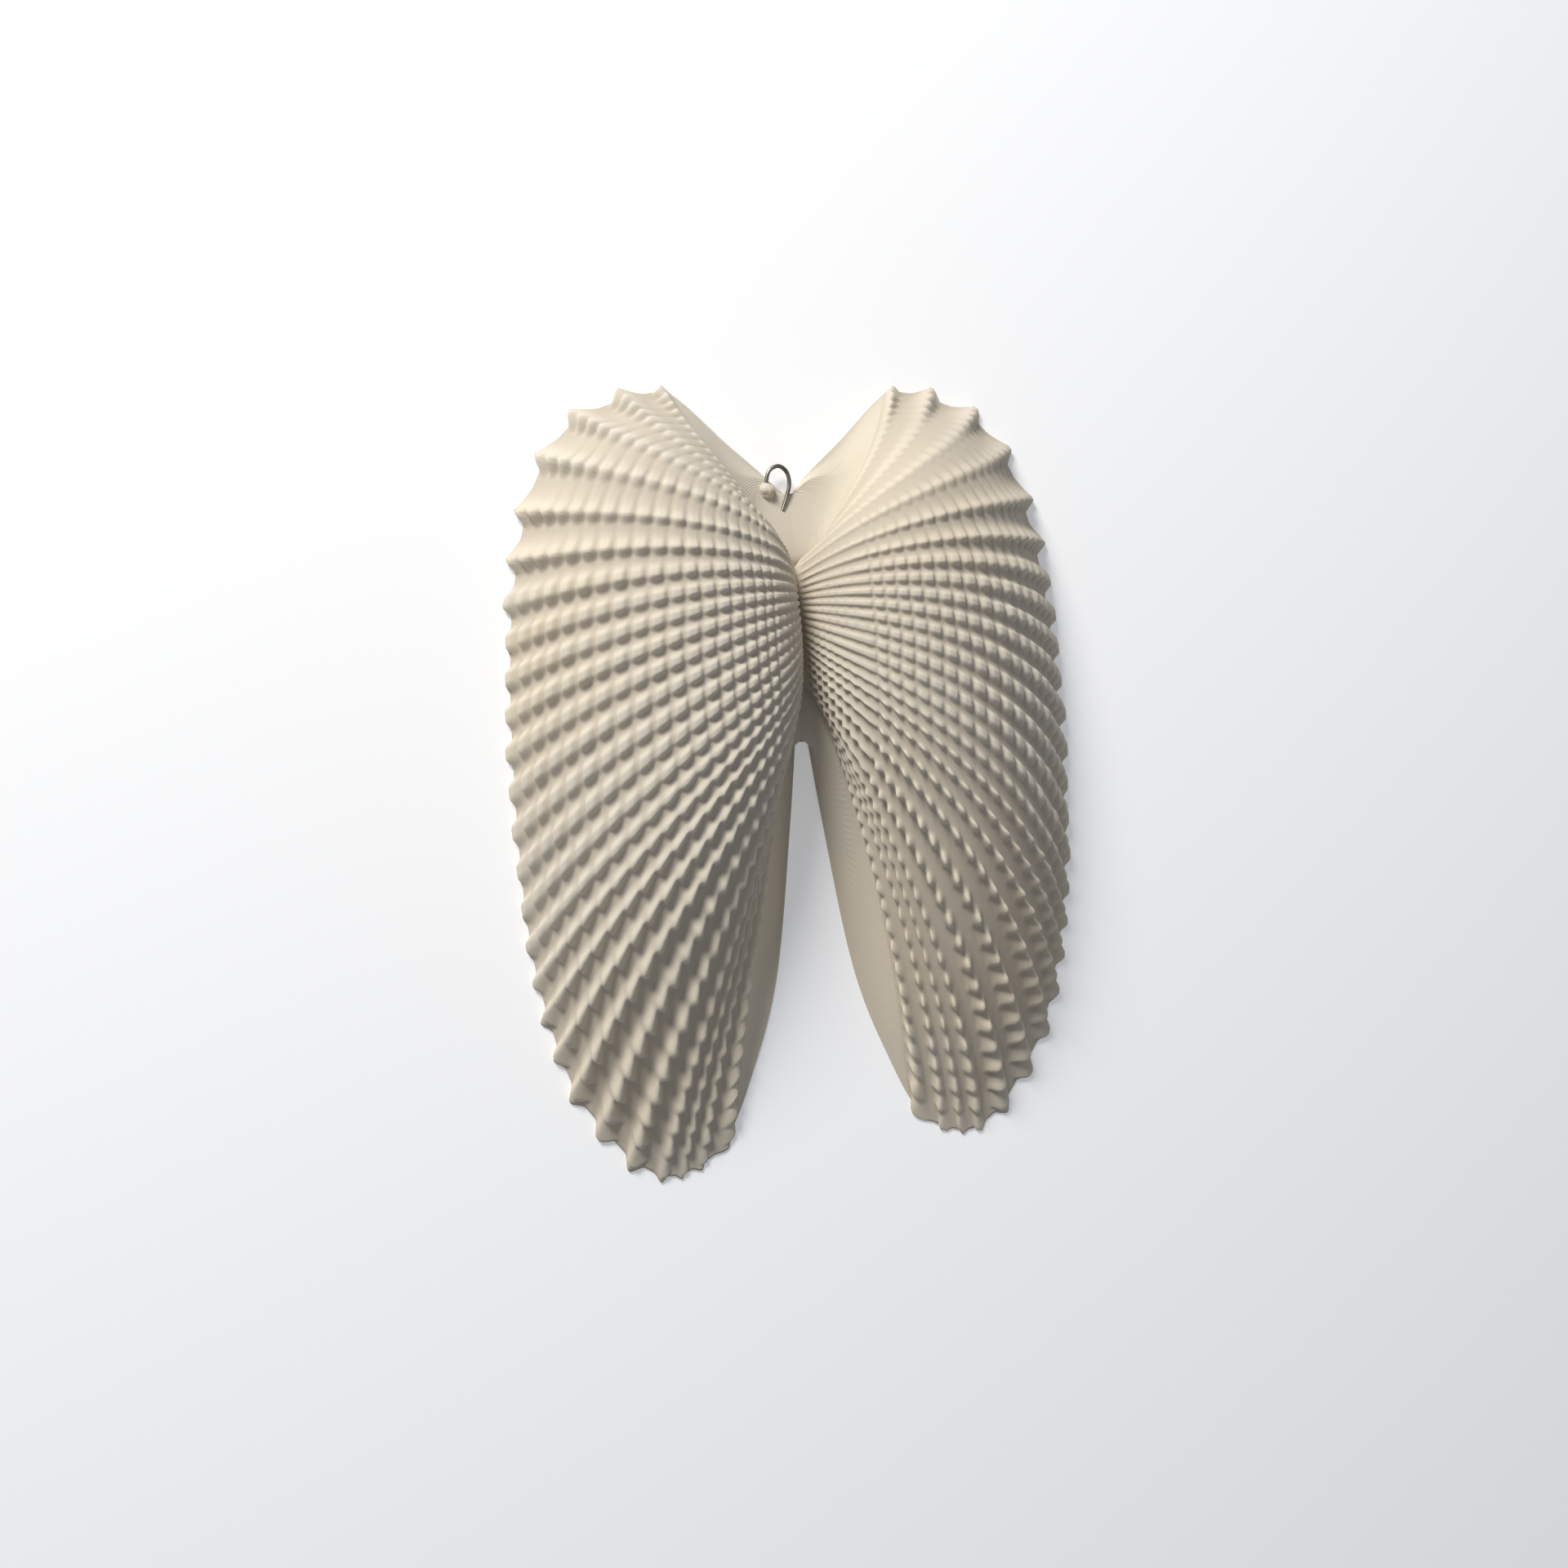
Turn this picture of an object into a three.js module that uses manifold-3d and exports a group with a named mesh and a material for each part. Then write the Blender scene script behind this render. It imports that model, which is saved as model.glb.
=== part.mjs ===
// A pair of piddock valves opened flat like two wings and joined along the hinge,
// with a small wire hanging loop set in the notch between them.
// Millimetres. The rims rest on z = 0, +Y points to the broad ribbed end, x = 0 is
// the plane of symmetry.
import * as THREE from 'three';
import Module from 'manifold-3d';
import { mergeVertices } from 'three/addons/utils/BufferGeometryUtils.js';

// ---- driving dimensions -------------------------------------------------------
const RIBS = 26;            // radiating ribs on each valve
const FRONT = -6;           // outline station at the front notch
const BACK = 32;            // outline station at the rear notch
const UMBO_Y = 29.8;        // where the ribs gather, measured along the hinge
const UMBO_X = 7.6;         // how far the coil stands off the plane of symmetry
const UMBO_BLEND = 6;         // the stand-off dies away below this width
const UMBO_Z = 0.7;         // height of the coil's centre
const GROWTH = 0.76;        // growth rate of the coil at the front
const GROWTH_FALL = 0.07;   // how much less it is at the rear
const DEPTH = 1.06;         // height of the dome against its width
const WEB_DEPTH = 0.72;     // the same at the smooth front web
const WEB_LIFT = 1.3;        // thickness of the front web's edge
const CLEFT = 0.3;          // how far the crease sinks between the domes
const SKEW = 0.19;          // forward lean of the coil
const COIL = 2.6;           // turn of the coil from rim to hinge, radians
const HINGE_BLEND = 6;      // how late the surface turns in to the hinge
const WALL = 2.5;           // thickness of the shell
const RIB_HEIGHT = 1.1;     // height of the ribs at the rim
const LOBE = 1.7;           // how far the front ribs stand out of the rim
const LOBE_MIN = 0.6;       // the same for the fine ribs
const ROWS = 15;            // growth steps from rim to hinge
const CAVITY_ROWS = 10;     // the same inside the hollow
const HALF_WIDTH = 24;      // middle of one valve
const HALF_LENGTH = 62;

const WIRE_R = 0.35;        // hanging wire radius
const WIRE_Z = 1.9;         // height of the loop's plane
const WIRE_GAP = 0.3;       // clearance of the wire in its sockets
const DAB_R = 1.3;          // dab of filler where the wire goes in

// Rim of one valve: rib number, x, y.
const OUTLINE = [
  [-6, 0, 44.4], [-5, 3.5, 48.2], [-3, 9.7, 53.7], [-1, 16.6, 60.2],
  [0, 19.7, 61.6], [1, 26.5, 61.1], [2, 34.0, 58.0], [3, 39.5, 51.5],
  [4, 43.0, 43.2], [6, 45.8, 29.3], [10, 47.2, 6.4], [14, 46.8, -17.8],
  [17, 44.6, -34.4], [19, 41.0, -47.1], [20, 37.0, -53.5], [21, 32.4, -59.1],
  [22, 27.5, -61.7], [24, 21.1, -60.6], [25, 17.0, -57.2], [26, 12.7, -49.0],
  [28, 6.7, -32.0], [30, 2.7, -7.0], [32, 0, 14.5],
];

// Bend line of the hanging wire, from the left foot over the top to the right foot.
const WIRE_PATH = [
  [-3.7, 45.8], [-3.7, 47.3], [-3.1, 48.9], [-1.6, 49.6],
  [-0.3, 48.7], [0.1, 46.9], [-0.4, 45.0], [-1.3, 42.6],
];

// ---- the wing surface ---------------------------------------------------------
const smooth = (a, b, v) => THREE.MathUtils.smoothstep(v, a, b);

// Cubic through the outline points, read at any rib number.
function rim(station) {
  const last = OUTLINE.length - 1;
  let i = 0;
  while (i < last - 1 && OUTLINE[i + 1][0] <= station) i += 1;
  const slope = (k, axis) => {
    const a = OUTLINE[Math.max(k - 1, 0)];
    const b = OUTLINE[Math.min(k + 1, last)];
    return (b[axis] - a[axis]) / (b[0] - a[0]);
  };
  const [p, q] = [OUTLINE[i], OUTLINE[i + 1]];
  const span = q[0] - p[0];
  const u = (station - p[0]) / span;
  const value = (axis) => (1 + 2 * u) * (1 - u) ** 2 * p[axis]
    + u * (1 - u) ** 2 * span * slope(i, axis)
    + u * u * (3 - 2 * u) * q[axis]
    - u * u * (1 - u) * span * slope(i + 1, axis);
  return [value(1), value(2)];
}

// 1 on a rib's crest, -1 in the valleys, 0 on the smooth areas next to the hinge.
function rib(station) {
  const ribbed = smooth(-0.9, -0.4, station) * (1 - smooth(25.2, 25.8, station));
  return ribbed * Math.cos(2 * Math.PI * station);
}

// Unribbed surface point of the right valve, t = 0 on the rim and 1 at the hinge.
function plain(station, t, lift = WEB_LIFT) {
  const [mx, my] = rim(station);
  const open = smooth(FRONT, -1.5, station) * (1 - smooth(26, BACK, station));
  const turn = COIL * open * t;
  const grow = Math.exp(-(GROWTH - GROWTH_FALL * station / RIBS) * turn);
  const shift = UMBO_X * mx / (mx + UMBO_BLEND);
  const reach = (mx - shift) * grow;
  const x = shift + reach * Math.cos(turn) + UMBO_Z * grow * Math.sin(turn);
  const deep = WEB_DEPTH + (DEPTH - WEB_DEPTH) * smooth(-5, 1, station);
  const z = UMBO_Z * (1 - grow * Math.cos(turn)) + deep * reach * Math.sin(turn);
  return new THREE.Vector3(
    (mx === 0 ? 0 : x) * (1 - t ** HINGE_BLEND),
    UMBO_Y + (my - UMBO_Y) * grow + SKEW * reach * Math.sin(turn),
    z * (1 - CLEFT * smooth(-1, 3, station) * t ** 8)
      + lift * (1 - smooth(-3, 0, station)) * smooth(0, 0.2, t),
  );
}

// The same point with its rib raised along the surface normal.
function ribbed(station, t) {
  const point = plain(station, t);
  if (t === 1 || rib(station) === 0) return point;
  const e = 0.01;
  const along = plain(station + e, t).sub(plain(station - e, t));
  const across = plain(station, t + e).sub(plain(station, Math.max(t - e, 0)));
  const normal = across.cross(along).normalize();
  if (t === 0) {
    const lobe = LOBE_MIN + (LOBE - LOBE_MIN) * (1 - smooth(3, 6, station));
    normal.setZ(0).normalize();
    return point.addScaledVector(normal, lobe / 2 * rib(station));
  }
  const height = RIB_HEIGHT / 2 * (1 - t) ** 0.6;
  return point.addScaledVector(normal, height * rib(station));
}

// ---- solids -------------------------------------------------------------------
const wasm = await Module();
wasm.setup();

function toSolid(geometry) {
  geometry.deleteAttribute('normal');
  geometry.deleteAttribute('uv');
  const merged = mergeVertices(geometry, 1e-4);
  const index = merged.index.array;
  const kept = [];
  for (let i = 0; i < index.length; i += 3) {
    const [a, b, c] = [index[i], index[i + 1], index[i + 2]];
    if (a !== b && b !== c && c !== a) kept.push(a, b, c);
  }
  return new wasm.Manifold(new wasm.Mesh({
    numProp: 3,
    vertProperties: new Float32Array(merged.attributes.position.array),
    triVerts: new Uint32Array(kept),
  }));
}

function toGeometry(solid) {
  const { vertProperties, triVerts } = solid.getMesh();
  const geometry = new THREE.BufferGeometry();
  geometry.setAttribute('position', new THREE.BufferAttribute(new Float32Array(vertProperties), 3));
  geometry.setIndex(new THREE.BufferAttribute(new Uint32Array(triVerts), 1));
  geometry.computeVertexNormals();
  return geometry;
}

const range = (from, to, step) => {
  const list = [];
  for (let v = from; v <= to + 1e-9; v += step) list.push(v);
  return list;
};

// Collects the triangles of one valve's solid; side -1 mirrors it.
class Skin {
  constructor() {
    this.position = [];
  }

  face(a, b, c, side) {
    const corners = side > 0 ? [a, b, c] : [a, c, b];
    for (const p of corners) this.position.push(side * p.x, p.y, p.z);
  }

  sheet(grid, side) {
    for (let i = 0; i < grid.length - 1; i += 1) {
      for (let j = 0; j < grid[i].length - 1; j += 1) {
        const [a, b] = [grid[i][j], grid[i + 1][j]];
        const [c, d] = [grid[i + 1][j + 1], grid[i][j + 1]];
        this.face(a, d, c, side);
        this.face(a, c, b, side);
      }
    }
  }

  cap(points, flatten, side) {
    const flat = points.map(flatten);
    for (const [i, j, k] of THREE.ShapeUtils.triangulateShape(flat, [])) {
      this.face(points[i], points[k], points[j], side);
    }
  }

  solid() {
    const geometry = new THREE.BufferGeometry();
    const attribute = new THREE.Float32BufferAttribute(this.position, 3);
    geometry.setAttribute('position', attribute);
    return toSolid(geometry);
  }
}

const fromAbove = (p) => new THREE.Vector2(p.x, p.y);
const fromSide = (p) => new THREE.Vector2(p.y, p.z);
const grid = (stations, rows, surface) => stations.map(
  (s) => range(0, rows, 1).map((j) => surface(s, j / rows)),
);

// Both valves with their ribs, joined along the hinge, with a flat underside.
function wingsSolid() {
  const stations = [
    ...range(FRONT, -1, 1),
    ...range(-0.5, RIBS - 0.5, 0.5),
    ...range(RIBS, BACK, 1),
  ];
  const wing = grid(stations, ROWS, ribbed);
  const skin = new Skin();
  for (const side of [1, -1]) {
    skin.sheet(wing, side);
    skin.cap(wing.map((line) => line[0]), fromAbove, side);
  }
  return skin.solid();
}

// The hollow of one valve is the plain valve drawn in by the wall and let down by it.
function hollowSolid(side) {
  const drawn = (s, t) => {
    const p = plain(s, t, 0);
    return new THREE.Vector3(
      HALF_WIDTH + (p.x - HALF_WIDTH) * (1 - WALL / HALF_WIDTH),
      p.y * (1 - WALL / HALF_LENGTH),
      p.z - WALL,
    );
  };
  const inside = grid(range(FRONT, BACK, 1), CAVITY_ROWS, drawn);
  const skin = new Skin();
  skin.sheet(inside, side);
  skin.cap(inside.map((line) => line[0]), fromAbove, side);
  skin.cap(inside.map((line) => line[CAVITY_ROWS]), fromSide, side);
  return skin.solid();
}

// Round bar along the wire's bend line.
function wireBar(radius, sides, steps) {
  const line = WIRE_PATH.map(([x, y]) => new THREE.Vector3(x, y, WIRE_Z));
  const path = new THREE.CatmullRomCurve3(line);
  const section = new THREE.Shape();
  section.absarc(0, 0, radius, 0, 2 * Math.PI);
  return new THREE.ExtrudeGeometry(section, {
    steps,
    curveSegments: sides,
    bevelEnabled: false,
    extrudePath: path,
  });
}

// ---- the pieces ---------------------------------------------------------------
let shell = wingsSolid();
for (const side of [1, -1]) shell = shell.subtract(hollowSolid(side));

const dab = new THREE.IcosahedronGeometry(DAB_R, 1);
dab.translate(WIRE_PATH[0][0], WIRE_PATH[0][1], WIRE_Z);
shell = shell.add(toSolid(dab));
shell = shell.subtract(toSolid(wireBar(WIRE_R + WIRE_GAP, 5, 18)));

const shellMesh = new THREE.Mesh(
  toGeometry(shell),
  new THREE.MeshStandardMaterial({ color: 0xe0d6c4, roughness: 0.85, metalness: 0 }),
);
shellMesh.name = 'wing_pair';

const wireMesh = new THREE.Mesh(
  wireBar(WIRE_R, 5, 18),
  new THREE.MeshStandardMaterial({ color: 0x6a6a68, roughness: 0.4, metalness: 1 }),
);
wireMesh.name = 'hanging_loop';

// The origin is under the middle of the shell.
shellMesh.geometry.computeBoundingBox();
const middle = shellMesh.geometry.boundingBox.getCenter(new THREE.Vector3());
const group = new THREE.Group();
group.add(shellMesh, wireMesh);
group.position.y = -middle.y;

export default group;
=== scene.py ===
"""A pair of piddock valves opened like two wings and joined along the hinge.

Two beaded shell wings, a dab of filler and a bent wire hanging loop, on a pale floor.
"""

import math

import bmesh
import bpy
import numpy as np
from bpy.props import FloatProperty, FloatVectorProperty, IntProperty, PointerProperty
from mathutils import Matrix


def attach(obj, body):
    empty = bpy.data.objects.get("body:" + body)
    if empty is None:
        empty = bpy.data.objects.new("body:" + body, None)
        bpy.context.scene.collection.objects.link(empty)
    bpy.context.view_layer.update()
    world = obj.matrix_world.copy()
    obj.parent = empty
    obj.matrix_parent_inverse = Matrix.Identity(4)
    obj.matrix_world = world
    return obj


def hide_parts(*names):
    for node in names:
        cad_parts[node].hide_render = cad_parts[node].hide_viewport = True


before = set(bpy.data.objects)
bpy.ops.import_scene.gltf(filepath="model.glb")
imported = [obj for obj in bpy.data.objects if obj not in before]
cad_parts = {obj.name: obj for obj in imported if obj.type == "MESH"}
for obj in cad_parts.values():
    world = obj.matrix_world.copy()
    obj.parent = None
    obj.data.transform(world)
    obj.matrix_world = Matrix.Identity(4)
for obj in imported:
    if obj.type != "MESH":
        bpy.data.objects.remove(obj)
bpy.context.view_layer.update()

bl_info = {
    "name": "Piddock Wing Pair",
    "version": (1, 0, 0),
    "blender": (4, 5, 0),
    "location": "View3D > Sidebar > Shells",
    "description": "Builds a joined pair of beaded piddock valves with a hanging loop",
    "category": "Object",
}

MM = 0.001

# ---- the valve's form, in millimetres, as in the frame ---------------------------
FRONT, BACK, RIBS = -6.0, 32.0, 26.0  # rim stations: front notch, rear notch, ribs
UMBO_X, UMBO_Y, UMBO_Z, UMBO_BLEND = 7.6, 29.8, 0.7, 6.0
GROWTH, GROWTH_FALL = 0.76, 0.07
DEPTH, WEB_DEPTH, SKEW, COIL, HINGE_BLEND = 1.06, 0.72, 0.19, 2.6, 6
WALL, WEB_LIFT, CLEFT, HALF_WIDTH, HALF_LENGTH = 2.5, 1.3, 0.3, 24.0, 62.0
CENTRE_Y = -0.2247
RIM_LIFT, RIM_LIFT_FADE, RIM_INSET = 0.25, 0.4, 0.28
FIELD_STEP = 1e-3  # small step in station and t, to find directions
UNDER_ROWS = 12  # rows from the hinge to the rim on the underside
WELD, SLIVER = 1e-6, 1e-7  # metres: doubles merged, edges dissolved

# ---- the relief, in rib spacings and metres --------------------------------------
VALLEY = 0.4  # where the valley lies between two crests, from the lower rib
MAX_PITCH = 0.0072  # wider ribs grow no higher than at this spacing

# ---- the stage -------------------------------------------------------------------
FLOOR_HALF, FLOOR_GAP = 4.0, 0.00005
LENS, SENSOR = 37.5, 36.0
CAMERA_SPOT = (-0.08631, 0.01499, 0.24783)
CAMERA_TURN = [
    (0.9452, 0.0781, -0.3171),
    (-0.0620, 0.9962, 0.0607),
    (0.3207, -0.0377, 0.9464),
]

OUTLINE = np.array(
    [
        (-6, 0, 44.4), (-5, 3.5, 48.2), (-3, 9.7, 53.7), (-1, 16.6, 60.2),
        (0, 19.7, 61.6), (1, 26.5, 61.1), (2, 34.0, 58.0), (3, 39.5, 51.5),
        (4, 43.0, 43.2), (6, 45.8, 29.3), (10, 47.2, 6.4), (14, 46.8, -17.8),
        (17, 44.6, -34.4), (19, 41.0, -47.1), (20, 37.0, -53.5), (21, 32.4, -59.1),
        (22, 27.5, -61.7), (24, 21.1, -60.6), (25, 17.0, -57.2), (26, 12.7, -49.0),
        (28, 6.7, -32.0), (30, 2.7, -7.0), (32, 0, 14.5),
    ]
)  # fmt: skip

WIRE_PATH = [
    (-3.7, 45.8), (-3.7, 47.3), (-3.1, 48.9), (-1.6, 49.6),
    (-0.3, 48.7), (0.1, 46.9), (-0.4, 45.0), (-1.3, 42.6),
]  # fmt: skip
WIRE_Z = 1.9


def smooth(a, b, v):
    u = np.clip((v - a) / (b - a), 0.0, 1.0)
    return u * u * (3 - 2 * u)


def rim(station):
    """Rim point of the right valve at any station: a cubic through the outline."""
    last = len(OUTLINE) - 1
    k = np.clip(np.searchsorted(OUTLINE[:, 0], station, "right") - 1, 0, last - 1)
    before = OUTLINE[np.maximum(np.arange(last + 1) - 1, 0)]
    after = OUTLINE[np.minimum(np.arange(last + 1) + 1, last)]
    slope = (after[:, 1:] - before[:, 1:]) / (after[:, :1] - before[:, :1])
    p, q = OUTLINE[k], OUTLINE[k + 1]
    span = (q[..., 0] - p[..., 0])[..., None]
    u = (station - p[..., 0])[..., None] / span
    point = (
        (1 + 2 * u) * (1 - u) ** 2 * p[..., 1:]
        + u * (1 - u) ** 2 * span * slope[k]
        + u * u * (3 - 2 * u) * q[..., 1:]
        - u * u * (1 - u) * span * slope[k + 1]
    )
    return point[..., 0], point[..., 1]


def opened(station):
    """1 where the valve coils fully, 0 at the two notches."""
    return smooth(FRONT, -1.5, station) * (1 - smooth(26, BACK, station))


def plain(station, t):
    """Unribbed surface of the right valve, t = 0 on the rim and 1 at the hinge."""
    mx, my = rim(station)
    turn = COIL * opened(station) * t
    grow = np.exp(-(GROWTH - GROWTH_FALL * station / RIBS) * turn)
    shift = UMBO_X * mx / (mx + UMBO_BLEND)
    reach = (mx - shift) * grow
    x = shift + reach * np.cos(turn) + UMBO_Z * grow * np.sin(turn)
    x = np.where(mx <= 1e-9, 0.0, x) * (1 - t**HINGE_BLEND)
    y = UMBO_Y + (my - UMBO_Y) * grow + SKEW * reach * np.sin(turn) + CENTRE_Y
    deep = WEB_DEPTH + (DEPTH - WEB_DEPTH) * smooth(-5, 1, station)
    z = UMBO_Z * (1 - grow * np.cos(turn)) + deep * reach * np.sin(turn)
    z = z * (1 - CLEFT * smooth(-1, 3, station) * t**8)
    z = z + WEB_LIFT * (1 - smooth(-3, 0, station)) * smooth(0, 0.2, t)
    return np.stack([x, y, z], -1)


def growth_rows(turn):
    """How many growth rows lie between the rim and this turn of the coil."""
    return 10 * turn + 3.3 * (1 - np.exp(-turn / 0.3))


def unit(v):
    return v / np.maximum(np.linalg.norm(v, axis=-1, keepdims=True), 1e-9)


# ---- node helpers ----------------------------------------------------------------
class Sock:
    """Wraps an output socket, so that + - * / on values add Math nodes."""

    def __init__(self, nodes, out):
        self.nodes, self.out = nodes, out

    def _math(self, operation, *values):
        return self.nodes.math(operation, *values)

    def __add__(self, v):
        return self._math("ADD", self, v)

    def __radd__(self, v):
        return self._math("ADD", v, self)

    def __sub__(self, v):
        return self._math("SUBTRACT", self, v)

    def __rsub__(self, v):
        return self._math("SUBTRACT", v, self)

    def __mul__(self, v):
        return self._math("MULTIPLY", self, v)

    def __rmul__(self, v):
        return self._math("MULTIPLY", v, self)

    def __truediv__(self, v):
        return self._math("DIVIDE", self, v)

    def __pow__(self, v):
        return self._math("POWER", self, v)


class Nodes:
    """One tree; add() makes any node from its type, its settings and its sockets."""

    def __init__(self, tree):
        self.tree = tree
        tree.nodes.clear()

    def add(self, kind, settings=None, out=0, **sockets):
        node = self.tree.nodes.new(kind)
        for name, value in (settings or {}).items():
            setattr(node, name, value)
        for key, value in sockets.items():
            place = int(key[1:]) if key[1:].isdigit() else key.replace("_", " ")
            socket = node.inputs[place]
            if isinstance(value, Sock):
                self.tree.links.new(value.out, socket)
            else:
                socket.default_value = value
        self.node = node
        return Sock(self, node.outputs[out]) if len(node.outputs) else node

    def math(self, operation, *values, clamp=False):
        named = {f"i{k}": v for k, v in enumerate(values)}
        return self.add(
            "ShaderNodeMath", {"operation": operation, "use_clamp": clamp}, **named
        )

    def step(self, value, low, high):
        """Smooth 0 to 1 as value goes from low to high."""
        return self.add(
            "ShaderNodeMapRange",
            {"interpolation_type": "SMOOTHSTEP"},
            i0=value, i1=low, i2=high, i3=0.0, i4=1.0,
        )  # fmt: skip

    def read(self, name, vector=False):
        kind = "FLOAT_VECTOR" if vector else "FLOAT"
        self.add("GeometryNodeInputNamedAttribute", {"data_type": kind}, Name=name)
        live = [o for o in self.node.outputs if o.enabled and o.name == "Attribute"]
        return Sock(self, live[0])


def new_modifier_tree(name, inputs):
    """A geometry tree with named inputs; gives its nodes and those inputs."""
    tree = bpy.data.node_groups.new(name, "GeometryNodeTree")
    nodes = Nodes(tree)
    face = tree.interface
    face.new_socket("Geometry", in_out="INPUT", socket_type="NodeSocketGeometry")
    face.new_socket("Geometry", in_out="OUTPUT", socket_type="NodeSocketGeometry")
    for label, kind in inputs:
        face.new_socket(label, in_out="INPUT", socket_type="NodeSocket" + kind)
    group = tree.nodes.new("NodeGroupInput")
    wires = {o.name: Sock(nodes, o) for o in group.outputs if o.name}
    return nodes, wires


def finish_tree(nodes, geometry, material):
    """Closes a tree with what makes its result plain: real geometry, one material."""
    real = nodes.add("GeometryNodeRealizeInstances", Geometry=geometry)
    painted = nodes.add("GeometryNodeSetMaterial", Geometry=real, Material=material)
    nodes.add("NodeGroupOutput", i0=painted)


def bake(obj, nodes, values):
    """Runs the tree on obj with these input values and keeps the result as a mesh."""
    modifier = obj.modifiers.new("build", "NODES")
    modifier.node_group = nodes.tree
    for item in nodes.tree.interface.items_tree:
        if item.in_out == "INPUT" and item.name in values:
            modifier[item.identifier] = values[item.name]
    graph = bpy.context.evaluated_depsgraph_get()
    graph.update()
    made = bpy.data.meshes.new_from_object(
        obj.evaluated_get(graph), preserve_all_data_layers=True, depsgraph=graph
    )
    old = obj.data
    obj.modifiers.remove(modifier)
    obj.data = made
    bpy.data.meshes.remove(old)
    made.name = obj.name
    return obj


def new_piece(name, mesh):
    """A new object in the scene, at the origin, that shows this mesh."""
    piece = bpy.data.objects.new(name, mesh)
    bpy.context.collection.objects.link(piece)
    return piece


# ---- settings --------------------------------------------------------------------
class ShellSettings(bpy.types.PropertyGroup):
    rib_height: FloatProperty(
        name="Rib height", description="Rib height as a share of the rib spacing",
        default=0.28, min=0, max=0.6,
    )
    bead_depth: FloatProperty(
        name="Bead depth", description="How deep the beads cut into a rib",
        default=0.82, min=0, max=1,
    )
    irregular: FloatProperty(
        name="Irregularity", description="How much the beads differ",
        default=0.3, min=0, max=1,
    )
    growth_lines: FloatProperty(
        name="Growth lines", description="Height of the fine lines on smooth areas",
        default=0.00003, min=0, max=0.0005, subtype="DISTANCE", unit="LENGTH",
    )
    seed: IntProperty(name="Seed", description="Changes the beads", default=3)
    colour: FloatVectorProperty(
        name="Bisque", description="Main colour", subtype="COLOR", size=3,
        default=(0.655, 0.595, 0.495), min=0, max=1,
    )
    # painted shade colour for the hollows between the beads; it also tints the random
    # specks
    hollow_shade_and_speck_colour: FloatVectorProperty(
        name="Hollows", description="Colour deep between the beads", subtype="COLOR",
        size=3, default=(0.50, 0.43, 0.34), min=0, max=1,
    )  # fmt: skip


class LoopSettings(bpy.types.PropertyGroup):
    radius: FloatProperty(
        name="Wire radius", description="Half the wire's thickness",
        default=0.00033, min=0.0001, max=0.001, subtype="DISTANCE", unit="LENGTH",
    )
    dab: FloatProperty(
        name="Dab size", description="Radius of the filler dab",
        default=0.00125, min=0.0005, max=0.003, subtype="DISTANCE", unit="LENGTH",
    )
    colour: FloatVectorProperty(
        name="Wire", description="Wire colour", subtype="COLOR", size=3,
        default=(0.30, 0.29, 0.26), min=0, max=1,
    )  # fmt: skip


class StageSettings(bpy.types.PropertyGroup):
    floor: FloatVectorProperty(
        name="Floor", description="Floor colour", subtype="COLOR", size=3,
        default=(0.95, 0.95, 0.95), min=0, max=1,
    )
    glow: FloatProperty(name="Floor glow", description="Lifts the floor", default=0.2)
    key: FloatProperty(name="Key light", description="Power", default=6.4, unit="POWER")
    fill: FloatProperty(
        name="Fill light", description="Power", default=0.08, unit="POWER"
    )
    sky: FloatProperty(name="Sky", description="Strength of the sky", default=0.28)


# ---- materials -------------------------------------------------------------------
def bisque(name, colour, shade_and_speck):
    """Matt unglazed bisque, with painted shade that darkens it a little between the
    beads.
    """
    material = bpy.data.materials.new(name)
    material.use_nodes = True
    n = Nodes(material.node_tree)
    place = n.add("ShaderNodeTexCoord", out="Object")
    relief = n.add("ShaderNodeAttribute", {"attribute_name": "relief"}, out="Fac")
    cloud = n.add("ShaderNodeTexNoise", Vector=place, Scale=55.0, Detail=4.0)
    patch = n.add("ShaderNodeTexNoise", Vector=place, Scale=14.0, Detail=3.0)
    speck = n.add("ShaderNodeTexNoise", Vector=place, Scale=900.0, Detail=3.0)
    pits = n.add("ShaderNodeTexNoise", Vector=place, Scale=2600.0, Detail=2.0)
    light = tuple(colour) + (1.0,)
    # deep is the painted shade colour of the hollows, also used for the random dark
    # specks
    deep = tuple(shade_and_speck) + (1.0,)
    grey = (colour[0] * 0.93, colour[1] * 0.945, colour[2] * 0.98, 1.0)
    warm = (min(colour[0] * 1.03, 1), colour[1] * 0.995, colour[2] * 0.93, 1.0)
    shade = {"data_type": "RGBA"}
    # low marks the hollows, where painted shade darkens the bisque
    low = n.step(relief, 0.62, 0.05)
    base = n.add(
        "ShaderNodeMix", shade, 2, i0=n.step(patch, 0.38, 0.62), i6=light, i7=warm
    )
    base = n.add(
        "ShaderNodeMix", shade, 2, i0=n.step(cloud, 0.45, 0.7) * 0.5, i6=base, i7=grey
    )
    # painted shade: the hollows between ribs and beads are mixed toward the deep colour
    base = n.add("ShaderNodeMix", shade, 2, i0=low * 0.55, i6=base, i7=deep)
    base = n.add(
        "ShaderNodeMix", shade, 2, i0=n.step(speck, 0.62, 0.8) * 0.25, i6=base, i7=deep
    )
    rough = 0.8 + 0.12 * cloud + 0.06 * low
    grain = speck * 0.6 + pits * 0.4
    normal = n.add("ShaderNodeBump", Strength=0.35, Distance=0.00012, Height=grain)
    shader = n.add(
        "ShaderNodeBsdfPrincipled", Base_Color=base, Roughness=rough, Normal=normal
    )
    n.node.inputs["Specular IOR Level"].default_value = 0.3
    n.add("ShaderNodeOutputMaterial", Surface=shader)
    return material


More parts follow.
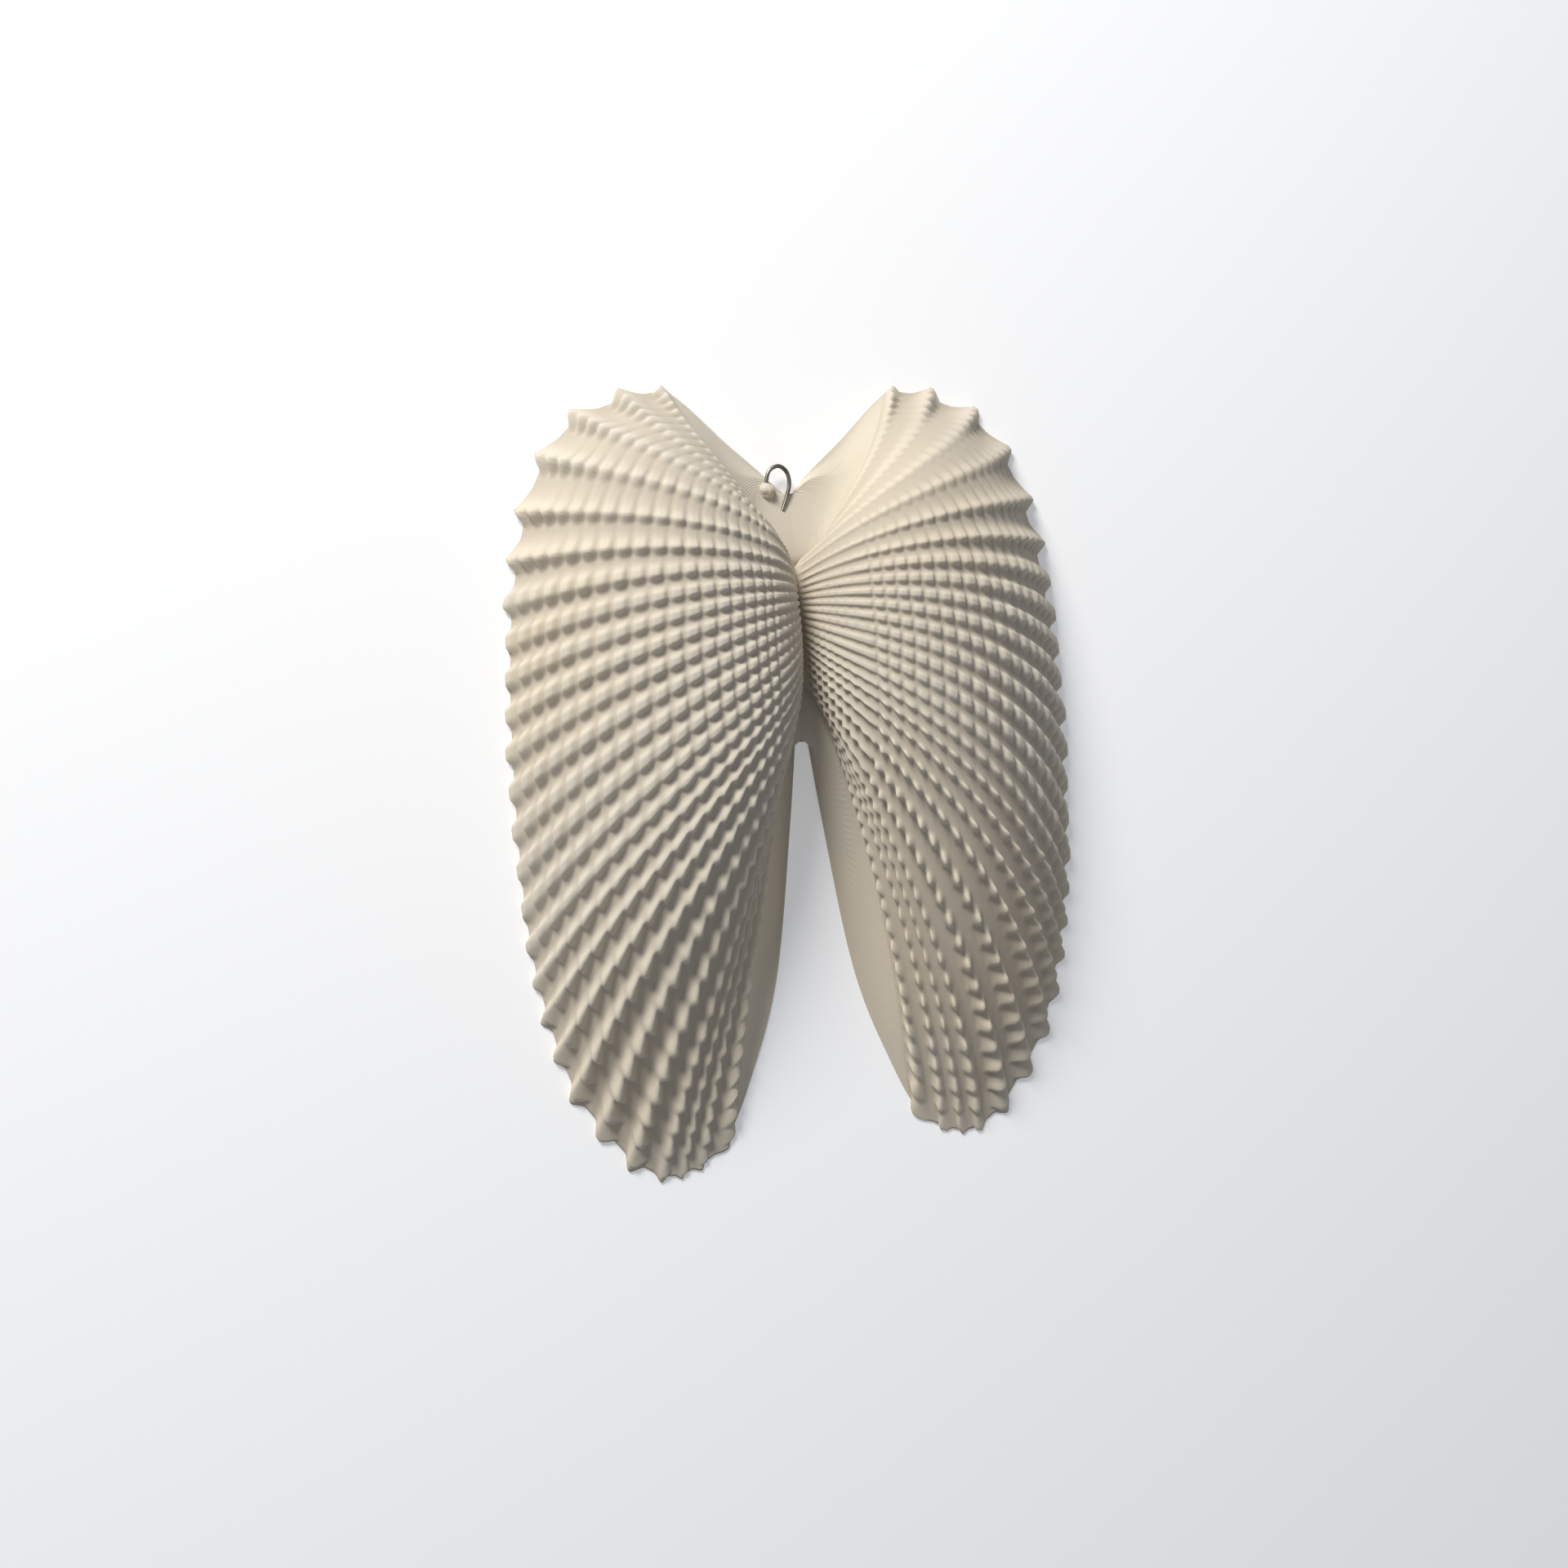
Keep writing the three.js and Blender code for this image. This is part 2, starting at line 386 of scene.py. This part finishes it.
def drawn_wire(name, colour):
    """Dull drawn wire, a little stained along its length."""
    material = bpy.data.materials.new(name)
    material.use_nodes = True
    n = Nodes(material.node_tree)
    place = n.add("ShaderNodeTexCoord", out="Object")
    stain = n.add("ShaderNodeTexNoise", Vector=place, Scale=700.0, Detail=3.0)
    fine = n.add("ShaderNodeTexNoise", Vector=place, Scale=6000.0, Detail=2.0)
    mark = n.step(stain, 0.4, 0.7)
    bright = tuple(colour) + (1.0,)
    dull = (colour[0] * 0.55, colour[1] * 0.5, colour[2] * 0.42, 1.0)
    base = n.add("ShaderNodeMix", {"data_type": "RGBA"}, 2, i0=mark, i6=bright, i7=dull)
    normal = n.add("ShaderNodeBump", Strength=0.3, Distance=0.00002, Height=fine)
    shader = n.add(
        "ShaderNodeBsdfPrincipled",
        Base_Color=base, Roughness=0.34 + 0.25 * mark, Metallic=1.0, Normal=normal,
    )  # fmt: skip
    n.add("ShaderNodeOutputMaterial", Surface=shader)
    return material


def shell_material():
    """The one bisque that the wings and the dab share."""
    found = bpy.data.materials.get("bisque")
    s = bpy.context.scene.shell_settings
    return found or bisque("bisque", s.colour, s.hollow_shade_and_speck_colour)


# ---- the wings -------------------------------------------------------------------
def stations():
    """Stations along the rim, close together where there are ribs."""
    front = np.arange(FRONT, -1, 0.25)
    ribs = np.arange(-1, RIBS, 1 / 14)
    rear = np.arange(RIBS, BACK + 1e-6, 0.25)
    return np.concatenate([front, ribs, rear])


def rows():
    """Values of t from rim to hinge, nine to a growth row in view."""
    turn = np.linspace(0, COIL, 4001)
    count = growth_rows(turn)
    near = np.arange(0, growth_rows(1.5), 1 / 9)
    far = np.linspace(growth_rows(1.5), growth_rows(COIL), 22)
    t = np.interp(np.concatenate([near, far]), count, turn) / COIL
    t[-1] = 1.0
    return t


def wing_blank(side):
    """One valve without relief, as a closed mesh that carries what the ribs need."""
    s, t = stations(), rows()
    grid_s, grid_t = np.meshgrid(s, t, indexing="ij")
    skin = plain(grid_s, grid_t)
    e = FIELD_STEP
    along = plain(grid_s + e, grid_t) - plain(grid_s - e, grid_t)
    low, high = np.maximum(grid_t - e, 0), np.minimum(grid_t + e, 1)
    across = plain(grid_s, high) - plain(grid_s, low)
    normal = unit(np.cross(across, along))
    outward = unit(normal * (1, 1, 0))
    skirt = smooth(0, 0.05, grid_t)[..., None]
    outward = unit(outward * (1 - skirt) + normal * skirt)

    turn = COIL * opened(grid_s) * grid_t
    row = growth_rows(turn)
    down = unit(across)
    width = along / (2 * e)
    pitch = np.linalg.norm(
        width - (width * down).sum(-1, keepdims=True) * down, axis=-1
    )
    cover = smooth(-0.9, -0.35, grid_s) * (1 - smooth(25.25, 25.75, grid_s))
    cover = cover * (1 - smooth(0.93, 1.0, grid_t))
    skin[..., 2] += RIM_LIFT * np.exp(-skin[..., 2] / RIM_LIFT_FADE)

    # underside: rim band, the drawn-in hollow, and the bar along the hinge
    depth = plain(grid_s, grid_t)[..., 2]
    depth = np.maximum.accumulate(depth, axis=1)
    edge = np.array([np.interp(WALL, d, t) for d in depth])
    inner_s = np.repeat(s[:, None], UNDER_ROWS, 1)
    inner_t = edge[:, None] + (1 - edge[:, None]) * np.linspace(1, 0, UNDER_ROWS)
    under = plain(inner_s, inner_t)
    under[..., 0] = HALF_WIDTH + (under[..., 0] - HALF_WIDTH) * (1 - WALL / HALF_WIDTH)
    under[..., 1] *= 1 - WALL / HALF_LENGTH
    under[..., 2] = np.maximum(under[..., 2] - WALL, 0)
    bar = under[:, :1] * (1, 1, 0)
    middle = bar * (0, 1, 1)
    foot = skin[:, :1] - outward[:, :1] * RIM_INSET
    foot[..., 2] = 0
    ring = np.concatenate([foot, skin, middle, bar, under], axis=1)
    ring[..., 0] = np.maximum(ring[..., 0], 0)
    for end in (0, -1):
        ring[end] = np.where([0, 0, 1], ring[end], ring[end, 1])
        ring[end, 1 + len(t) :, 2] = 0

    def spread(field):
        """The same field on the ring, 0 away from the outer surface."""
        rest = np.zeros((len(s), ring.shape[1] - 1 - len(t)) + field.shape[2:])
        return np.concatenate([field[:, :1], field, rest], axis=1)

    n_s, n_r = ring.shape[:2]
    corner = np.arange(n_s * n_r).reshape(n_s, n_r)
    nxt = np.roll(corner, -1, axis=1)
    faces = np.stack([corner[:-1], corner[1:], nxt[1:], nxt[:-1]], -1).reshape(-1, 4)
    mesh = bpy.data.meshes.new("blank")
    points = ring.reshape(-1, 3) * (side * MM, MM, MM)
    mesh.from_pydata(points.tolist(), [], faces.tolist())
    layers = {
        "station": spread(grid_s),
        "row": spread(row),
        "pitch": spread(pitch) * MM,
        "cover": spread(cover),
        "outer": spread(1 - smooth(0.9, 1, grid_t)),
    }
    for name, field in layers.items():
        layer = mesh.attributes.new(name, "FLOAT", "POINT")
        layer.data.foreach_set("value", field.reshape(-1).astype(np.float32))
    layer = mesh.attributes.new("outward", "FLOAT_VECTOR", "POINT")
    facing = spread(outward) * (side, 1, 1)
    layer.data.foreach_set("vector", facing.reshape(-1).astype(np.float32))
    place = mesh.attributes.new("place", "INT", "POINT")
    place.data.foreach_set("value", np.tile(np.arange(n_r, dtype=np.int32), n_s))

    bm = bmesh.new()
    bm.from_mesh(mesh)
    at = bm.verts.layers.int["place"]
    crisp = {0, len(t), len(t) + 1, len(t) + 2, len(t) + 3, n_r - 1}
    bmesh.ops.remove_doubles(bm, verts=bm.verts, dist=WELD)
    bmesh.ops.dissolve_degenerate(bm, edges=bm.edges, dist=SLIVER)
    bmesh.ops.holes_fill(bm, edges=bm.edges, sides=0)
    bmesh.ops.recalc_face_normals(bm, faces=bm.faces)
    for face in bm.faces:
        face.smooth = True
    for link in bm.edges:
        a, b = link.verts
        if a[at] == b[at] and a[at] in crisp:
            link.smooth = False
    bm.to_mesh(mesh)
    bm.free()
    mesh.attributes.remove(mesh.attributes["place"])
    return mesh


RELIEF_INPUTS = [
    ("Rib height", "Float"),
    ("Bead depth", "Float"),
    ("Irregularity", "Float"),
    ("Growth lines", "Float"),
    ("Smooth front", "Float"),
    ("Pearls", "Float"),
    ("Seed", "Int"),
    ("Material", "Material"),
]


def relief_tree():
    """Raises ribs, beads and growth lines on a blank along its outward direction."""
    n, given = new_modifier_tree("wing_relief", RELIEF_INPUTS)
    station, row = n.read("station"), n.read("row")
    pitch, cover = n.read("pitch"), n.read("cover")
    outward, outer = n.read("outward", True), n.read("outer")

    # where along the shell: 1 on the broad front ribs, 1 on the rear ribs
    broad = 1 - n.step(station, 4.0, 7.0)
    rear = n.step(station, 12.5, 17.5)
    inward = n.step(row, 1.0, 7.0)
    pearls = rear * n.step(row, 1.5, 6.0) * given["Pearls"]

    # which rib, and the place across it: the crest at 1, valleys at VALLEY and 1.4
    rib_index = n.math("FLOOR", station - VALLEY + 1.0)
    gap = station - rib_index + 1.0
    rib_noise = n.add(
        "ShaderNodeTexWhiteNoise", {"noise_dimensions": "2D"},
        Vector=n.add("ShaderNodeCombineXYZ", X=rib_index, Y=given["Seed"]),
    )  # fmt: skip
    drift = n.add(
        "ShaderNodeTexNoise", {"noise_dimensions": "2D"},
        Vector=n.add(
            "ShaderNodeCombineXYZ", X=row * 0.35, Y=rib_index * 7.3 + given["Seed"]
        ),
        Scale=1.0, Detail=1.0,
    )  # fmt: skip
    lag = (rib_noise - 0.5) * 0.25 + (drift - 0.5) * 1.0 * given["Irregularity"]
    phase = row + lag * (1 - 0.5 * broad) + 0.1 * n.math("ABSOLUTE", gap - 1.0)
    bead_index = n.math("FLOOR", phase)
    v = phase - bead_index - 0.5
    one = n.add(
        "ShaderNodeTexWhiteNoise", {"noise_dimensions": "3D"},
        Vector=n.add(
            "ShaderNodeCombineXYZ", X=bead_index, Y=rib_index, Z=given["Seed"]
        ),
    )  # fmt: skip
    # a bead is steeper towards the rim on the rear ribs
    wave = v * (2 * math.pi)
    lean = 0.1 + 0.5 * rear
    swell = 0.5 + 0.5 * n.math("COSINE", wave + lean * n.math("COSINE", wave))
    soft_bead = n.math("MAXIMUM", swell, 0.0) ** (0.6 + 0.3 * rear)
    crisp_bead = n.step(0.5 - n.math("ABSOLUTE", v), 0.0, 0.3)
    bead = soft_bead * rear + crisp_bead * (1 - rear)
    bead = bead * (1 - given["Irregularity"] * one)

    # cross profile: long rise from the valley to the crest, steep toothed fall
    edge = (soft_bead - 0.4) * (0.07 + 0.1 * rear + 0.04 * broad)
    start = 1.05 - 0.09 * broad - 0.04 * rear
    fall = 1 - n.step(gap, start + edge - 0.05, start + edge + 0.24 + 0.05 * rear)
    rise_wide = n.math("MAXIMUM", (gap - VALLEY) / (1 - VALLEY), 0.0, clamp=True) ** 1.5
    rise_full = n.step(gap, 0.42 + 0.14 * rear, 0.78 + 0.2 * rear)
    rise = rise_wide * broad + rise_full * (1 - broad)
    ridge = n.math("MINIMUM", rise, fall)

    cut = given["Bead depth"] * (1 - 0.75 * broad * (1 - inward * 0.6))
    quiet = n.step(station, -0.5, 2.5)
    cut = cut * (0.25 + 0.75 * quiet) * (1 - 0.5 * rear)
    cut = cut * (1 - broad * (1 - n.step(row, 1.0, 4.0)))
    height = ridge * (1 - cut + cut * bead)
    sideways, endways = (gap - 1.02) * 1.7, v * 0.95
    away = sideways * sideways + endways * endways
    pearl = 1 - n.step(n.math("SQRT", away), 0.05, 0.42)
    pearl = pearl * (1 - 0.6 * given["Irregularity"] * one)
    height = height * (1 - pearls) + (0.3 * ridge + 0.8 * pearl) * pearls
    size = n.math("MINIMUM", pitch, MAX_PITCH) * given["Rib height"]
    size = size * (1 + 0.35 * rear + 0.25 * pearls)
    faded = given["Smooth front"] * (1 - n.step(station, 1.0, 6.0))
    size = size * (1 - 0.9 * faded * n.step(row, 0.5, 6.0))
    swale = broad * inward * 0.12 * (bead - 0.5) * (1 - ridge)
    sunk = n.step(station, -0.6, 1.6) * (1 - n.step(station, 23.6, 25.5))
    ribs = size * (height - 0.5 * sunk + swale) * cover * 1.15

    # fine growth lines on the smooth flank and front
    wander = n.add(
        "ShaderNodeTexNoise", Vector=n.add("GeometryNodeInputPosition"),
        Scale=60.0, Detail=2.0,
    )  # fmt: skip
    lines = n.math("SINE", row * 15.0 + wander * 14.0) * given["Growth lines"]
    lines = lines * (1 - cover) * outer * n.step(row, 0.0, 1.0)
    lift = (ribs + lines) * n.step(outer, 0.0, 0.2)
    offset = n.add(
        "ShaderNodeVectorMath", {"operation": "SCALE"}, Vector=outward, Scale=lift
    )
    geometry = n.add(
        "GeometryNodeSetPosition", Geometry=given["Geometry"], Offset=offset
    )
    # relief is low in the hollows; the bisque paints shade there from it
    depth = height * cover + (1 - cover)
    geometry = n.add(
        "GeometryNodeStoreNamedAttribute", {"data_type": "FLOAT", "domain": "POINT"},
        Geometry=geometry, Name="relief", Value=depth,
    )  # fmt: skip
    for name in ("station", "row", "pitch", "cover", "outward", "outer"):
        geometry = n.add(
            "GeometryNodeRemoveAttribute", Geometry=geometry, Name=name
        )
    finish_tree(n, geometry, given["Material"])
    return n


class SHELL_OT_wings(bpy.types.Operator):
    """Build the two ribbed and beaded valves, right and left"""

    bl_idname = "shell.wings"
    bl_label = "Wings"

    def execute(self, context):
        s = context.scene.shell_settings
        nodes = relief_tree()
        wings = (
            ("wing_right", 1, 0, 1.0, 1.0),
            ("wing_left", -1, 11, 0.75, 0.0),
        )
        for name, side, seed, front, pearls in wings:
            piece = new_piece(name, wing_blank(side))
            bake(
                piece,
                nodes,
                {
                    "Rib height": s.rib_height,
                    "Bead depth": s.bead_depth,
                    "Irregularity": s.irregular,
                    "Growth lines": s.growth_lines,
                    "Smooth front": front,
                    "Pearls": pearls,
                    "Seed": s.seed + seed,
                    "Material": shell_material(),
                },
            )
            if len(piece.data.vertices) < 1000:
                raise RuntimeError(f"{name} came out empty")
            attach(piece, "root")
            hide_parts("wing_pair")
        return {"FINISHED"}


# ---- the loop and its dab --------------------------------------------------------
def through(points, per_span):
    """Points along a smooth curve that passes through the given ones."""
    p = np.array(points, float)
    p = np.vstack([2 * p[0] - p[1], p, 2 * p[-1] - p[-2]])
    line = []
    for i in range(1, len(p) - 2):
        for u in np.arange(per_span) / per_span:
            a, b, c, d = p[i - 1], p[i], p[i + 1], p[i + 2]
            line.append(
                0.5 * (2 * b + (c - a) * u + (2 * a - 5 * b + 4 * c - d) * u**2
                       + (3 * b - a - 3 * c + d) * u**3)
            )  # fmt: skip
    line.append(p[-2])
    return np.array(line)


def wire_tree():
    """Sweeps a round bar along a line of edges."""
    n, given = new_modifier_tree(
        "bent_wire", [("Wire radius", "Float"), ("Material", "Material")]
    )
    line = n.add("GeometryNodeMeshToCurve", Mesh=given["Geometry"])
    ring = n.add(
        "GeometryNodeCurvePrimitiveCircle", {"mode": "RADIUS"},
        Resolution=20, Radius=given["Wire radius"],
    )  # fmt: skip
    bar = n.add("GeometryNodeCurveToMesh", Curve=line, Profile_Curve=ring)
    n.node.inputs["Fill Caps"].default_value = True
    bar = n.add("GeometryNodeSetShadeSmooth", Geometry=bar)
    finish_tree(n, bar, given["Material"])
    return n


class SHELL_OT_loop(bpy.types.Operator):
    """Bend the hanging wire into the front notch"""

    bl_idname = "shell.loop"
    bl_label = "Hanging loop"

    def execute(self, context):
        s = context.scene.loop_settings
        points = through([(x, y + CENTRE_Y, WIRE_Z) for x, y in WIRE_PATH], 12) * MM
        mesh = bpy.data.meshes.new("wire_line")
        links = [(i, i + 1) for i in range(len(points) - 1)]
        mesh.from_pydata(points.tolist(), links, [])
        piece = new_piece("wire_loop", mesh)
        metal = drawn_wire("drawn_wire", s.colour)
        bake(piece, wire_tree(), {"Wire radius": s.radius, "Material": metal})
        if len(piece.data.polygons) < 100:
            raise RuntimeError("the wire came out empty")
        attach(piece, "root")
        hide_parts("hanging_loop")
        return {"FINISHED"}


class SHELL_OT_dab(bpy.types.Operator):
    """Press a lumpy dab of filler round the wire's left foot"""

    bl_idname = "shell.dab"
    bl_label = "Filler dab"

    def execute(self, context):
        s = context.scene.loop_settings
        bm = bmesh.new()
        bmesh.ops.create_icosphere(bm, subdivisions=5, radius=1.0)
        x, y = WIRE_PATH[0]
        for vertex in bm.verts:
            a, b, c = vertex.co
            lump = (
                1.0 + 0.07 * math.sin(3.1 * a + 1.3 + 2 * b)
                + 0.06 * math.sin(4.3 * b + 2.1 * c)
                + 0.035 * math.sin(9.1 * a - 7.7 * c + 0.7)
                + 0.02 * math.sin(17 * b + 13 * a)
            )  # fmt: skip
            vertex.co = (
                (a * lump * 0.98) * s.dab + x * MM,
                (b * lump * 1.0) * s.dab + (y + CENTRE_Y) * MM,
                (c * lump * 0.85) * s.dab + WIRE_Z * MM,
            )
        for face in bm.faces:
            face.smooth = True
        mesh = bpy.data.meshes.new("filler_dab")
        bm.to_mesh(mesh)
        bm.free()
        # a middling relief, so the dab takes almost none of the painted hollow shade
        layer = mesh.attributes.new("relief", "FLOAT", "POINT")
        layer.data.foreach_set("value", np.full(len(mesh.vertices), 0.6, np.float32))
        mesh.materials.append(shell_material())
        piece = new_piece("filler_dab", mesh)
        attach(piece, "root")
        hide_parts("wing_pair")
        return {"FINISHED"}


# ---- the stage -------------------------------------------------------------------
def area_light(name, power, colour, size, spot):
    """A round lamp at spot that faces the middle of the shell pair."""
    data = bpy.data.lights.new(name, "AREA")
    data.energy, data.color, data.shape = power, colour, "DISK"
    data.size = size
    lamp = bpy.data.objects.new(name, data)
    bpy.context.collection.objects.link(lamp)
    back = unit(np.array(spot))
    side = unit(np.cross((0.0, 1.0, 0.01), back))
    up = np.cross(back, side)
    turn = Matrix([(side[i], up[i], back[i]) for i in range(3)]).to_4x4()
    lamp.matrix_world = Matrix.Translation(spot) @ turn


class SHELL_OT_stage(bpy.types.Operator):
    """Set the pale floor, the soft light and the camera"""

    bl_idname = "shell.stage"
    bl_label = "Stage"

    def execute(self, context):
        scene = context.scene
        s = scene.stage_settings
        scene.view_settings.view_transform = "Standard"

        bm = bmesh.new()
        bmesh.ops.create_grid(bm, x_segments=8, y_segments=8, size=FLOOR_HALF)
        mesh = bpy.data.meshes.new("floor")
        bm.to_mesh(mesh)
        bm.free()
        for vertex in mesh.vertices:
            vertex.co.z = -FLOOR_GAP
        floor = new_piece("floor", mesh)
        material = bpy.data.materials.new("pale_floor")
        material.use_nodes = True
        n = Nodes(material.node_tree)
        shader = n.add(
            "ShaderNodeBsdfPrincipled", Base_Color=tuple(s.floor) + (1,), Roughness=0.9,
            Emission_Color=(1, 1, 1, 1), Emission_Strength=s.glow,
        )  # fmt: skip
        n.add("ShaderNodeOutputMaterial", Surface=shader)
        mesh.materials.append(material)

        world = bpy.data.worlds.new("soft_sky")
        world.use_nodes = True
        n = Nodes(world.node_tree)
        sky = n.add(
            "ShaderNodeBackground", Color=(0.84, 0.89, 1.0, 1.0), Strength=s.sky
        )
        n.add("ShaderNodeOutputWorld", Surface=sky)
        scene.world = world

        area_light("key", s.key, (1.0, 0.985, 0.95), 0.3, (-0.37, 0.60, 0.375))
        area_light("fill", s.fill, (0.85, 0.88, 1.0), 0.5, (0.6, 0.2, 0.4))

        lens = bpy.data.cameras.new("camera")
        lens.lens, lens.sensor_width = LENS, SENSOR
        lens.clip_start, lens.clip_end = 0.01, 50.0
        camera = bpy.data.objects.new("camera", lens)
        scene.collection.objects.link(camera)
        turn = Matrix(CAMERA_TURN).normalized().to_4x4()
        camera.matrix_world = Matrix.Translation(CAMERA_SPOT) @ turn
        scene.camera = camera
        return {"FINISHED"}


class SHELL_PT_panel(bpy.types.Panel):
    """The pieces of the shell pair and their sizes"""

    bl_idname = "SHELL_PT_panel"
    bl_label = "Piddock wing pair"
    bl_space_type = "VIEW_3D"
    bl_region_type = "UI"
    bl_category = "Shells"

    def draw(self, context):
        scene, layout = context.scene, self.layout
        for settings, buttons in (
            (scene.shell_settings, ("shell.wings",)),
            (scene.loop_settings, ("shell.loop", "shell.dab")),
            (scene.stage_settings, ("shell.stage",)),
        ):
            box = layout.box()
            for name in type(settings).__annotations__:
                box.prop(settings, name)
            for button in buttons:
                box.operator(button)


CLASSES = (
    ShellSettings,
    LoopSettings,
    StageSettings,
    SHELL_OT_wings,
    SHELL_OT_loop,
    SHELL_OT_dab,
    SHELL_OT_stage,
    SHELL_PT_panel,
)


def register():
    for each in CLASSES:
        bpy.utils.register_class(each)
    bpy.types.Scene.shell_settings = PointerProperty(type=ShellSettings)
    bpy.types.Scene.loop_settings = PointerProperty(type=LoopSettings)
    bpy.types.Scene.stage_settings = PointerProperty(type=StageSettings)


def unregister():
    del bpy.types.Scene.shell_settings
    del bpy.types.Scene.loop_settings
    del bpy.types.Scene.stage_settings
    for each in reversed(CLASSES):
        bpy.utils.unregister_class(each)


def main():
    register()
    bpy.ops.shell.wings()
    bpy.ops.shell.loop()
    bpy.ops.shell.dab()
    bpy.ops.shell.stage()


if __name__ == "__main__":
    main()
